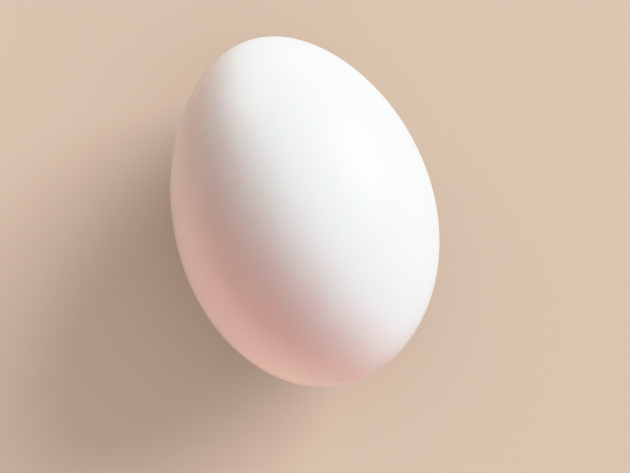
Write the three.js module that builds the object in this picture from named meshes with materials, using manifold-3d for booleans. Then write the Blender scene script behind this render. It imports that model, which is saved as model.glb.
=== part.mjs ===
// A peeled hard-boiled hen's egg, lying on its side as it comes to rest on a
// table. It is one solid piece: smooth, glossy egg white all over.
//
// Millimetres, +Z up. The long axis lies along Y with the pointed end towards
// +Y, and the origin is the centre of the flat spot that the egg rests on.

import * as THREE from 'three';
import { mergeVertices } from 'three/addons/utils/BufferGeometryUtils.js';
import Module from 'manifold-3d';

// Driving dimensions
const LENGTH = 57; // from the blunt pole to the pointed pole
const WIDTH = 41.6; // across, halfway along the length
const TAPER = 0.059; // share of its width that the pointed half loses and the blunt half gains
const END_SLIMNESS = 0.036; // share of their width that both ends lose
const AXIS_BOW = 0.28; // the poles stand this far to one side of the middle
const SPOT_DEPTH = 0.6; // how far the soft white is pressed flat by the egg's own weight

// How finely the skin is divided
const STEPS_ALONG = 36;
const STEPS_ROUND = 56;

// How finely the shape is worked out
const SLICES = 2000; // thin slices that the egg's weight is summed over
const HALVINGS = 60; // steps in the search for the point that the egg rests on
const SMALL_ANGLE = 1e-4; // radians, to either side of the place where a slope is taken
const SAME_POINT = 1e-4; // corners closer together than this are one corner

const HALF_LENGTH = LENGTH / 2;
const HALF_WIDTH = WIDTH / 2;

// The egg curve: a point of the outline, at an angle that runs from 0 at the
// pointed pole to pi at the blunt one. x is the radius and y the place along
// the axis.
function outlinePoint(angle) {
  const along = Math.cos(angle);
  const swell = 1 - TAPER * along - END_SLIMNESS * along * along;
  return new THREE.Vector2(HALF_WIDTH * Math.sin(angle) * swell, HALF_LENGTH * along);
}

// How fast the radius grows along the axis, towards the pointed end.
function outlineSlope(angle) {
  const before = outlinePoint(angle - SMALL_ANGLE);
  const after = outlinePoint(angle + SMALL_ANGLE);
  return (after.x - before.x) / (after.y - before.y);
}

// Where the inward normal at an outline point meets the axis.
function normalFoot(angle) {
  const point = outlinePoint(angle);
  return point.y + point.x * outlineSlope(angle);
}

// The centre of gravity of the full egg, as its place along the axis.
function gravityCentre() {
  let volume = 0;
  let moment = 0;
  for (let i = 0; i < SLICES; i += 1) {
    const angle = (Math.PI * (i + 0.5)) / SLICES;
    const point = outlinePoint(angle);
    const slice = point.x * point.x * Math.sin(angle);
    volume += slice;
    moment += slice * point.y;
  }
  return moment / volume;
}

// An egg on its side rolls until its centre of gravity is straight above the
// point that it rests on, which is where the normal runs through that centre.
// Returns that point's angle on the outline, found by halving.
function restingAngle() {
  const centre = gravityCentre();
  let low = Math.PI / 4;
  let high = (3 * Math.PI) / 4;
  for (let i = 0; i < HALVINGS; i += 1) {
    const middle = (low + high) / 2;
    if (normalFoot(middle) > centre) {
      low = middle;
    } else {
      high = middle;
    }
  }
  return (low + high) / 2;
}

// The full egg about the Y axis, from the blunt pole to the pointed one, with
// its axis bowed a little sideways.
function eggGeometry() {
  const profile = [];
  for (let i = 0; i <= STEPS_ALONG; i += 1) {
    const point = outlinePoint(Math.PI * (1 - i / STEPS_ALONG));
    if (i === 0 || i === STEPS_ALONG) {
      point.x = 0;
    }
    profile.push(point);
  }
  const geometry = new THREE.LatheGeometry(profile, STEPS_ROUND);
  const position = geometry.attributes.position;
  for (let i = 0; i < position.count; i += 1) {
    const along = position.getY(i) / HALF_LENGTH;
    position.setX(i, position.getX(i) - AXIS_BOW * along * along);
  }
  return geometry;
}

// Tips the egg as it lies, and sets the lowest point of its outline just below
// the ground by the depth of the flat spot.
function layDown(geometry) {
  const angle = restingAngle();
  const contact = outlinePoint(angle);
  geometry.translate(0, -contact.y, contact.x);
  geometry.rotateX(Math.atan(outlineSlope(angle)));
  geometry.translate(0, 0, -SPOT_DEPTH);
}

// A closed three.js geometry as a manifold-3d solid.
function toSolid(wasm, geometry) {
  const bare = geometry.clone();
  bare.deleteAttribute('normal');
  bare.deleteAttribute('uv');
  const merged = mergeVertices(bare, SAME_POINT);
  const corners = merged.index.array;
  const triangles = [];
  for (let i = 0; i < corners.length; i += 3) {
    const [a, b, c] = corners.slice(i, i + 3);
    if (a !== b && b !== c && c !== a) {
      triangles.push(a, b, c);
    }
  }
  const mesh = new wasm.Mesh({
    numProp: 3,
    vertProperties: new Float32Array(merged.attributes.position.array),
    triVerts: new Uint32Array(triangles),
  });
  return new wasm.Manifold(mesh);
}

// A manifold-3d solid as a three.js geometry.
function toGeometry(solid) {
  const mesh = solid.getMesh();
  const geometry = new THREE.BufferGeometry();
  geometry.setAttribute('position', new THREE.BufferAttribute(mesh.vertProperties, 3));
  geometry.setIndex(new THREE.BufferAttribute(mesh.triVerts, 1));
  geometry.computeVertexNormals();
  return geometry;
}

// The egg with everything below the ground cut away, which leaves the flat
// spot at z = 0.
function restingEgg(wasm) {
  const egg = eggGeometry();
  layDown(egg);
  const ground = new THREE.BoxGeometry(WIDTH, LENGTH, WIDTH);
  ground.translate(0, 0, -WIDTH / 2);
  return toGeometry(toSolid(wasm, egg).subtract(toSolid(wasm, ground)));
}

const eggWhite = new THREE.MeshStandardMaterial({
  color: '#f4f2ec',
  roughness: 0.28,
  metalness: 0,
});

const wasm = await Module();
wasm.setup();

const egg = new THREE.Mesh(restingEgg(wasm), eggWhite);
egg.name = 'egg';

const group = new THREE.Group();
group.add(egg);

export default group;
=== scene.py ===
"""A peeled hard-boiled hen's egg, lying on its side on a plain pale table.

Metres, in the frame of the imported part: +Z up, the egg's length along Y with
its pointed end towards +Y, and the origin at the middle of its resting spot.
"""

import math
import random

import bmesh
import bpy
import numpy as np
from mathutils import Matrix, Vector, noise
from mathutils.kdtree import KDTree


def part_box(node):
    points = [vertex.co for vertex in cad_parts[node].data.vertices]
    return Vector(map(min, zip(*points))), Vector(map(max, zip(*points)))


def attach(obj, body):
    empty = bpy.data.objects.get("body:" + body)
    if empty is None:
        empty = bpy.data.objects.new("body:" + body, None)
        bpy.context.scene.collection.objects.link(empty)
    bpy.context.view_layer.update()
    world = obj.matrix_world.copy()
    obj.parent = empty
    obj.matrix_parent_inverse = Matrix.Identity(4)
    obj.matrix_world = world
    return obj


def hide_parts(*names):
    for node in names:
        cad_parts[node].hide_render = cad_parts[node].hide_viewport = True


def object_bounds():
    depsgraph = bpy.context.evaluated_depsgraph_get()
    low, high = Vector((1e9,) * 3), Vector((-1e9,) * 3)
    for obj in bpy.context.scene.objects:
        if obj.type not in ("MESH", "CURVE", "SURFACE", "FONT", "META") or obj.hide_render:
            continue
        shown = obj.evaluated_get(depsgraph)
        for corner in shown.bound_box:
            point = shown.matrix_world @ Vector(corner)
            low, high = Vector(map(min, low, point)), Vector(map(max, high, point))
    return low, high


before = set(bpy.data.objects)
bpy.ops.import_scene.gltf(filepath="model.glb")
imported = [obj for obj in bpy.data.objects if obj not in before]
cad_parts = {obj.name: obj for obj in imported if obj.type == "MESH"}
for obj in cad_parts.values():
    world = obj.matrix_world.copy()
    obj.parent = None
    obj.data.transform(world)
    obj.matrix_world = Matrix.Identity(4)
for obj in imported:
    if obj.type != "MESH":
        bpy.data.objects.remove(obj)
cad_low, cad_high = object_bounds()

# ---------------------------------------------------------------------------
# The egg. One piece of cooked white, smooth and moist, with the shell and its
# skin peeled off by hand. The white has set against the skin, so it is silky
# rather than polished, with a few pinholes and creases left by the peeling.
# ---------------------------------------------------------------------------

MM = 0.001
EGG_LENGTH = 57 * MM
EGG_WIDTH = 41.6 * MM
TAPER = 0.059  # share of its width that the pointed half loses and the blunt half gains
END_SLIMNESS = 0.036  # share of their width that both ends lose
AXIS_BOW = 0.28 * MM  # the poles stand this far to one side of the middle
REST_TILT = math.radians(2.8)  # the pointed end dips by this much
SPOT_DEPTH = 0.6 * MM  # how far the white is pressed flat where it rests
SPOT_EDGE = 0.12 * MM  # how softly the flat spot runs out into the round
CELLS = 88  # cells along each side of the cube that the egg is blown up from

# The skin's unevenness: how wide its swells are, how high, and where their pattern starts
SWELLS = (
    (17 * MM, 0.045 * MM, (3.1, 0.4, 7.7)),
    (6.5 * MM, 0.008 * MM, (9.2, 5.5, 1.3)),
)

AIR_CELL_PLACE = (-0.86, 160)  # how far along the egg, and how many degrees round it
AIR_CELL_DEPTH = 0.42 * MM
AIR_CELL_REACH = 8 * MM


def skin_point(along, turn):
    """The plain egg's skin about its own axis: along runs from -1 at the blunt pole to +1
    at the pointed one, and turn goes round the axis, from 0 at the top towards +X."""
    swell = 1 - TAPER * along - END_SLIMNESS * along * along
    radius = EGG_WIDTH / 2 * math.sqrt(max(0.0, 1 - along * along)) * swell
    return Vector((
        radius * math.sin(turn) - AXIS_BOW * along * along,
        EGG_LENGTH / 2 * along,
        radius * math.cos(turn),
    ))


def blown_up(corner):
    """Where a point on the side of a cube lands when the cube is blown up to the egg."""
    ball = Vector([math.tan(c * math.pi / 4) for c in corner]).normalized()
    return skin_point(ball.y, math.atan2(ball.x, ball.z))


def undulation(point):
    """How far the skin stands out where it set a little unevenly."""
    height = 0
    for span, rise, start in SWELLS:
        height += rise * noise.noise(point / span + Vector(start))
    return height


def air_cell(points):
    """The white set a little flatter where the air cell was, beside the blunt pole."""
    along, turn = AIR_CELL_PLACE
    middle = np.array(skin_point(along, math.radians(turn)))
    share = np.linalg.norm(points - middle, axis=1) / AIR_CELL_REACH
    return np.where(share < 1, -AIR_CELL_DEPTH * (1 - share ** 2) ** 2, 0)


# Pinholes on the upper side: how far along the egg, and how many degrees round it
UPPER_PINHOLES = ((0.58, -21.7), (0.362, -35.5), (0.35, 64), (-0.39, 41), (-0.51, 51), (0.69, 53))
SCATTERED_PINHOLES = 40
PINHOLE_RADII = (0.3, 0.65)  # from and to, in millimetres, as the depths are
PINHOLE_DEPTHS = (0.02, 0.06)
PINHOLE_STEEPNESS = 2.5  # how sharply a pinhole falls away from its rim


def pinhole_list():
    """Tiny dimples where a bubble under the skin or a crumb of shell was: middle, radius, depth."""
    rng = random.Random(11)
    places = [(along, math.radians(turn)) for along, turn in UPPER_PINHOLES]
    for _ in range(SCATTERED_PINHOLES):
        places.append((rng.uniform(-0.98, 0.98), rng.uniform(0, 2 * math.pi)))
    return [
        (
            skin_point(along, turn),
            rng.uniform(*PINHOLE_RADII) * MM,
            rng.uniform(*PINHOLE_DEPTHS) * MM,
        )
        for along, turn in places
    ]


def pinhole_relief(points, holes):
    """Each pinhole is a soft round dip."""
    height = np.zeros(len(points))
    for middle, radius, deep in holes:
        share = np.linalg.norm(points - np.array(middle), axis=1) / radius
        height -= deep * np.exp(-PINHOLE_STEEPNESS * share ** 2)
    return height


# Creases in the skin: where each starts and ends, along the egg and in degrees round it, then
# its width, its depth and how far it wavers, in millimetres, and the number of its waves. A
# crease of negative depth is a fold that stands up.
CREASES = (
    # A small double fold on the pointed half
    ((0.545, -43.5), (0.53, -34.0), 0.24, -0.085, 0.36, 0.5),
    ((0.549, -39.5), (0.541, -34.5), 0.2, -0.055, 0.05, 0.5),
    # A long faint crease down the same side
    ((0.80, -40.0), (0.68, -52.5), 0.42, 0.075, 0.12, 0.5),
    ((0.72, -52.5), (0.30, -52.5), 0.28, 0.05, 0.15, 1.2),
    # Scattered ones low on the sides and round the blunt end
    ((-0.35, 96), (-0.62, 118), 0.4, 0.09, 0.3, 2.1),
    ((0.15, 171), (0.44, 150), 0.36, 0.09, 0.3, 2.6),
    ((-0.70, -102), (-0.52, -128), 0.4, 0.08, 0.25, 2.2),
    ((-0.90, 35), (-0.97, -40), 0.36, 0.07, 0.25, 1.7),
)
LIP_HEIGHT = 0.35  # the lips beside a crease stand up by this share of its depth
LIP_PLACE = 1.9  # and this many of its widths away from its middle
CREASE_STEPS = 30  # points along each crease


def crease_paths():
    """The line of each crease, which wavers from side to side, as points on the skin."""
    paths = []
    for start, end, _, _, sway, waves in CREASES:
        line = [
            skin_point(
                start[0] + (end[0] - start[0]) * i / CREASE_STEPS,
                math.radians(start[1] + (end[1] - start[1]) * i / CREASE_STEPS),
            )
            for i in range(CREASE_STEPS + 1)
        ]
        sideways = (line[-1] - line[0]).cross(line[0] + line[-1]).normalized()
        paths.append([
            spot + sideways * sway * MM * math.sin(2 * math.pi * waves * i / CREASE_STEPS)
            for i, spot in enumerate(line)
        ])
    return paths


def crease_relief(points, paths):
    """Each crease is a shallow groove with soft lips, or a low fold, and fades at both ends."""
    height = np.zeros(len(points))
    for (_, _, width, deep, _, _), path in zip(CREASES, paths):
        nearest = np.full(len(points), np.inf)
        fade = np.zeros(len(points))
        for i, spot in enumerate(path):
            gap = np.linalg.norm(points - np.array(spot), axis=1)
            nearer = gap < nearest
            nearest = np.where(nearer, gap, nearest)
            fade = np.where(nearer, math.sin(math.pi * i / CREASE_STEPS), fade)
        across = nearest / (width * MM)
        lips = LIP_HEIGHT * np.exp(-0.5 * (across - LIP_PLACE) ** 2)
        height += deep * MM * fade * (lips - np.exp(-across ** 2))
    return height


DETAIL_REACH = 1.3 * MM  # the mesh is twice as fine this close to a pinhole or crease
CREASE_REACH = 1.1 * MM  # and twice as fine again this close to a crease


def halve_cells(bm, spots, reach):
    """Halves the cells within reach of one of the spots, while the mesh is still a cube."""
    tree = KDTree(len(spots))
    for i, spot in enumerate(spots):
        tree.insert(spot, i)
    tree.balance()
    near = [f for f in bm.faces if tree.find(blown_up(f.calc_center_median()))[2] < reach]
    edges = {e for f in near for e in f.edges}
    bmesh.ops.subdivide_edges(bm, edges=list(edges), cuts=1, use_grid_fill=True)


def lay_down(points):
    """Tips the egg as it lies, sets it on the table and presses its lowest skin flat."""
    points = points @ np.array(Matrix.Rotation(-REST_TILT, 3, "X")).T
    low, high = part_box("egg")
    lift = low.z - points[:, 2].min() - SPOT_DEPTH
    slide = ((low + high) / 2).y - (points[:, 1].min() + points[:, 1].max()) / 2
    points += (0, slide, lift)
    points[:, 2] = (points[:, 2] + np.hypot(points[:, 2], SPOT_EDGE)) / 2
    points[:, 2] -= points[:, 2].min() - low.z
    return points


egg_bm = bmesh.new()
bmesh.ops.create_cube(egg_bm, size=2)
bmesh.ops.subdivide_edges(egg_bm, edges=egg_bm.edges[:], cuts=CELLS - 1, use_grid_fill=True)
holes = pinhole_list()
paths = crease_paths()
crease_spots = [spot for path in paths for spot in path]
halve_cells(egg_bm, [middle for middle, _, _ in holes] + crease_spots, DETAIL_REACH)
halve_cells(egg_bm, crease_spots, CREASE_REACH)
for v in egg_bm.verts:
    v.co = blown_up(v.co)
egg_bm.normal_update()
plain = np.array([v.co for v in egg_bm.verts])
outward = np.array([v.normal for v in egg_bm.verts])
relief = np.array([undulation(v.co) for v in egg_bm.verts])
relief += air_cell(plain) + pinhole_relief(plain, holes) + crease_relief(plain, paths)
for v, place in zip(egg_bm.verts, lay_down(plain + outward * relief[:, None])):
    v.co = place
egg_mesh = bpy.data.meshes.new("peeled_egg")
egg_bm.to_mesh(egg_mesh)
egg_bm.free()
egg_mesh.polygons.foreach_set("use_smooth", [True] * len(egg_mesh.polygons))
egg = bpy.data.objects.new("peeled_egg", egg_mesh)
bpy.context.scene.collection.objects.link(egg)


def add_node(tree, kind, **values):
    """A shader node, with values for its settings and for its inputs."""
    made = tree.nodes.new(kind)
    for name, value in values.items():
        if hasattr(made, name):
            setattr(made, name, value)
        else:
            made.inputs[name.replace("_", " ")].default_value = value
    return made


CLEAR_WHITE = (0.93, 0.925, 0.905, 1)
GREYER_WHITE = (0.9, 0.9, 0.88, 1)
SPECK_COLOUR = (0.86, 0.84, 0.8, 1)
SPECK_CHOICE = 0.72  # the higher, the fewer specks
SOAK_DEPTH = 5 * MM  # how far light soaks in, red the furthest


def egg_white():
    """Cooked egg white: milky, so light soaks in and comes out soft, under a thin wet film
    that lies thicker in some places than in others."""
    material = bpy.data.materials.new("egg_white")
    material.use_nodes = True
    tree = material.node_tree
    link = tree.links.new
    shader = tree.nodes["Principled BSDF"]
    shader.inputs["IOR"].default_value = 1.37
    shader.inputs["Subsurface Weight"].default_value = 1.0
    shader.inputs["Subsurface Radius"].default_value = (1.0, 0.3, 0.2)
    shader.inputs["Subsurface Scale"].default_value = SOAK_DEPTH
    shader.inputs["Coat Roughness"].default_value = 0.13
    shader.inputs["Coat IOR"].default_value = 1.33
    place = add_node(tree, "ShaderNodeTexCoord")

    # Colour: a clean white with faint greyer clouds
    clouds = add_node(tree, "ShaderNodeTexNoise", Scale=70, Detail=3, Roughness=0.55)
    link(place.outputs["Object"], clouds.inputs["Vector"])
    tones = add_node(tree, "ShaderNodeValToRGB")
    tones.color_ramp.elements[0].position = 0.25
    tones.color_ramp.elements[0].color = GREYER_WHITE
    tones.color_ramp.elements[1].position = 0.75
    tones.color_ramp.elements[1].color = CLEAR_WHITE
    link(clouds.outputs["Fac"], tones.inputs["Fac"])

    # Specks: pinpricks up to half a millimetre across, about a dozen on the whole egg
    cells = add_node(tree, "ShaderNodeTexVoronoi", Scale=230)
    link(place.outputs["Object"], cells.inputs["Vector"])
    near = add_node(tree, "ShaderNodeMapRange", From_Min=0.035, From_Max=0.06, To_Min=1, To_Max=0)
    link(cells.outputs["Distance"], near.inputs["Value"])
    pick = add_node(tree, "ShaderNodeSeparateColor")
    link(cells.outputs["Color"], pick.inputs["Color"])
    chosen = add_node(tree, "ShaderNodeMath", operation="GREATER_THAN")
    link(pick.outputs["Red"], chosen.inputs[0])
    chosen.inputs[1].default_value = SPECK_CHOICE
    speck = add_node(tree, "ShaderNodeMath", operation="MULTIPLY")
    link(near.outputs["Result"], speck.inputs[0])
    link(chosen.outputs["Value"], speck.inputs[1])
    specked = add_node(tree, "ShaderNodeMix", data_type="RGBA")
    link(speck.outputs["Value"], specked.inputs["Factor"])
    link(tones.outputs["Color"], specked.inputs["A"])
    specked.inputs["B"].default_value = SPECK_COLOUR
    link(specked.outputs["Result"], shader.inputs["Base Color"])

    # Gloss: silky, and wetter in patches
    patches = add_node(tree, "ShaderNodeTexNoise", Scale=110, Detail=4, Roughness=0.6)
    link(place.outputs["Object"], patches.inputs["Vector"])
    silk = add_node(tree, "ShaderNodeMapRange", From_Min=0.3, From_Max=0.7, To_Min=0.33, To_Max=0.39)
    link(patches.outputs["Fac"], silk.inputs["Value"])
    link(silk.outputs["Result"], shader.inputs["Roughness"])
    film = add_node(tree, "ShaderNodeMapRange", From_Min=0.35, From_Max=0.65, To_Min=0.6, To_Max=0.4)
    link(patches.outputs["Fac"], film.inputs["Value"])
    link(film.outputs["Result"], shader.inputs["Coat Weight"])

    # Fine relief: the print of the skin's fibres, and the specks as tiny pits
    fibres = add_node(tree, "ShaderNodeTexNoise", Scale=1500, Detail=4, Roughness=0.6)
    link(place.outputs["Object"], fibres.inputs["Vector"])
    height = add_node(tree, "ShaderNodeMath", operation="SUBTRACT")
    link(fibres.outputs["Fac"], height.inputs[0])
    link(speck.outputs["Value"], height.inputs[1])
    bump = add_node(tree, "ShaderNodeBump", Strength=0.3, Distance=0.004 * MM)
    link(height.outputs["Value"], bump.inputs["Height"])
    link(bump.outputs["Normal"], shader.inputs["Normal"])
    return material


egg_mesh.materials.append(egg_white())
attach(egg, "root")
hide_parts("egg")

# ---------------------------------------------------------------------------
# The table: a plain, pale, matt top, wide enough to fill every view. It isn't
# part of the object, which lies loose on it.
# ---------------------------------------------------------------------------

TABLE_SIZE = 4
TABLE_COLOUR = (0.33, 0.245, 0.19, 1)

bpy.ops.mesh.primitive_plane_add(size=TABLE_SIZE, location=(0, 0, cad_low.z))
table = bpy.context.object
table.name = "table_top"
pale = bpy.data.materials.new("pale_table")
pale.use_nodes = True
pale_shader = pale.node_tree.nodes["Principled BSDF"]
pale_shader.inputs["Base Color"].default_value = TABLE_COLOUR
pale_shader.inputs["Roughness"].default_value = 0.8
pale_shader.inputs["Specular IOR Level"].default_value = 0
table.data.materials.append(pale)

# ---------------------------------------------------------------------------
# Light: three soft lamps for the egg, a strong cool one on the right towards its
# pointed end, a weak one low down behind that end, and a warm one on the other
# side. The table has lights of its own, so that it looks the same in every view.
# ---------------------------------------------------------------------------

LAMP_DISTANCE = 0.7
LAMP_SIZE = 0.5
KEY_SIDE = (0.84, 0.37, 0.39)

egg_centre = (cad_low + cad_high) / 2


def set_light(name, kind, side, power, colour, piece):
    """A light on the given side of the egg, turned to it, that lights one piece alone."""
    light = bpy.data.lights.new(name, kind)
    light.energy = power
    light.color = colour
    holder = bpy.data.objects.new(name, light)
    bpy.context.scene.collection.objects.link(holder)
    back = Vector(side).normalized()
    holder.location = egg_centre + back * LAMP_DISTANCE
    holder.rotation_mode = "QUATERNION"
    holder.rotation_quaternion = (-back).to_track_quat("-Z", "Y")
    lit = bpy.data.collections.new(name + "_lights")
    lit.objects.link(piece)
    holder.light_linking.receiver_collection = lit
    return holder


def egg_lamp(name, side, power, colour):
    """A round soft lamp."""
    holder = set_light(name, "AREA", side, power, colour, egg)
    holder.data.shape = "DISK"
    holder.data.size = LAMP_SIZE
    holder.visible_camera = False
    return holder


def table_light(name, side, span, power, colour):
    """A light from far away, which fills this many degrees of the sky."""
    holder = set_light(name, "SUN", side, power, colour, table)
    holder.data.angle = math.radians(span)


egg_lamp("key", KEY_SIDE, 10.6, (0.8, 0.93, 1.0))
egg_lamp("rim", (-0.25, 0.95, 0.17), 1.7, (1.0, 0.83, 0.72))
warm = egg_lamp("warm_fill", (-0.53, -0.75, 0.4), 3.15, (1.0, 0.56, 0.515))
warm.visible_glossy = False
table_light("key_on_table", KEY_SIDE, 39, 7.8, (0.84, 0.93, 1.0))
table_light("overhead", (0, 0, 1), 140, 4.2, (1.0, 1.0, 1.0))

# Past the table's edge stands an even haze, as bright as the table, that lights next to nothing
HAZE_COLOUR = (1.0, 0.78, 0.625, 1)
HAZE_SEEN = 0.7
HAZE_GLOW = 0.02

world = bpy.data.worlds.new("studio")
bpy.context.scene.world = world
world.use_nodes = True
sky = world.node_tree.nodes["Background"]
sky.inputs["Color"].default_value = HAZE_COLOUR
seen = add_node(world.node_tree, "ShaderNodeLightPath")
strength = add_node(world.node_tree, "ShaderNodeMath", operation="MULTIPLY_ADD")
world.node_tree.links.new(seen.outputs["Is Camera Ray"], strength.inputs[0])
strength.inputs[1].default_value = HAZE_SEEN
strength.inputs[2].default_value = HAZE_GLOW
world.node_tree.links.new(strength.outputs["Value"], sky.inputs["Strength"])

# Bright light rolls off softly towards white, so that the lit side keeps its roundness
BRIGHTEST = 2.4  # light this strong comes out as pure white
SHOULDER = ((0.4, 0.4), (0.7, 0.695), (0.9, 0.835), (1.2, 0.92), (1.6, 0.965), (2.0, 0.986))

display = bpy.context.scene.view_settings
display.view_transform = "Standard"
display.use_curve_mapping = True
tones = display.curve_mapping
tones.white_level = (BRIGHTEST, BRIGHTEST, BRIGHTEST)
tones.extend = "HORIZONTAL"
for light, shown in SHOULDER:
    tones.curves[3].points.new(light / BRIGHTEST, shown)
tones.update()

# ---------------------------------------------------------------------------
# Camera: looks straight down on the egg's side, square to its axis, with the
# pointed end leaning to the left of the top of the view.
# ---------------------------------------------------------------------------

LEAN = math.radians(16.3)
LENS = 70
SENSOR = 36
EGG_SHARE = 0.566  # of the view's width, taken up by the egg's length
SIT_LEFT = 0.0195  # the egg sits this share of the view's width left of its middle
SIT_HIGH = 0.0405  # and this far above it

view_width = EGG_LENGTH / EGG_SHARE
distance = view_width * LENS / SENSOR
axis = Vector((0, math.cos(REST_TILT), -math.sin(REST_TILT)))
across = Vector((1, 0, 0))
back = across.cross(axis)
up = across * math.sin(LEAN) + axis * math.cos(LEAN)
right = across * math.cos(LEAN) - axis * math.sin(LEAN)
aim = egg_centre + (right * SIT_LEFT - up * SIT_HIGH) * view_width

camera_data = bpy.data.cameras.new("camera")
camera_data.lens = LENS
camera_data.sensor_width = SENSOR
camera = bpy.data.objects.new("camera", camera_data)
bpy.context.scene.collection.objects.link(camera)
facing = Matrix((right, up, back)).transposed().to_4x4()
camera.matrix_world = Matrix.Translation(aim + back * distance) @ facing
bpy.context.scene.camera = camera
